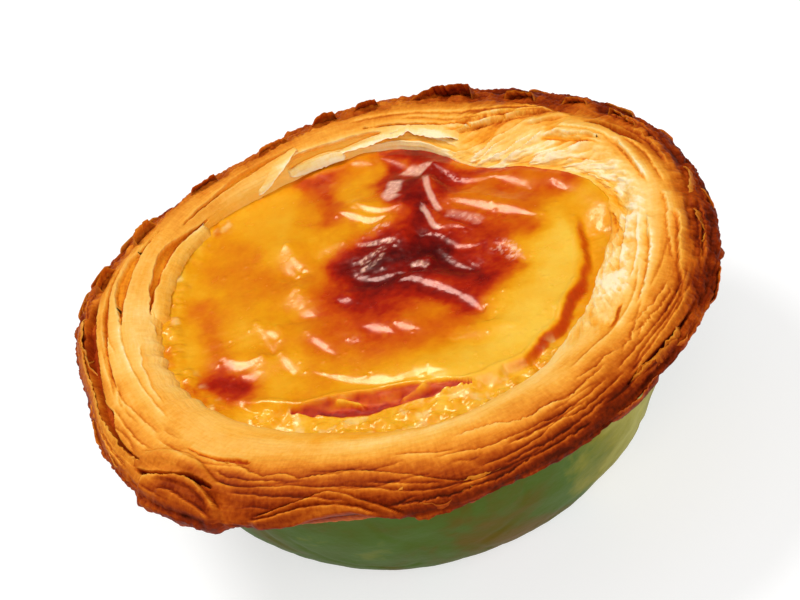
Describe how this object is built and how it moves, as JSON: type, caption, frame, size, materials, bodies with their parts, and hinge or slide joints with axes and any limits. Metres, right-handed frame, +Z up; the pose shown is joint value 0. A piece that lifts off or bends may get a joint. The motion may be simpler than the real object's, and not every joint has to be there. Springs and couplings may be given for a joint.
{
  "type": "portuguese custard tart",
  "caption": "Round baked custard tart: a laminated pastry case with a leafy browned rim, filled with set custard that has a scorched, wrinkled skin.",
  "frame": {"origin": "middle of the flat base, on the surface that the tart stands on", "axes": "+Z up through the tart's axis, -Y towards the front, where the custard's skin ends in a step above a moat"},
  "size_m": [0.0789, 0.0792, 0.0274],
  "materials": {
    "pastry": "flaky baked pastry, golden, brown at the outer leaves",
    "custard": "glossy set custard, scorched dark brown in patches"
  },
  "bodies": {
    "root": {"pastry_case": "pastry", "custard": "custard"}
  },
  "joints": []
}
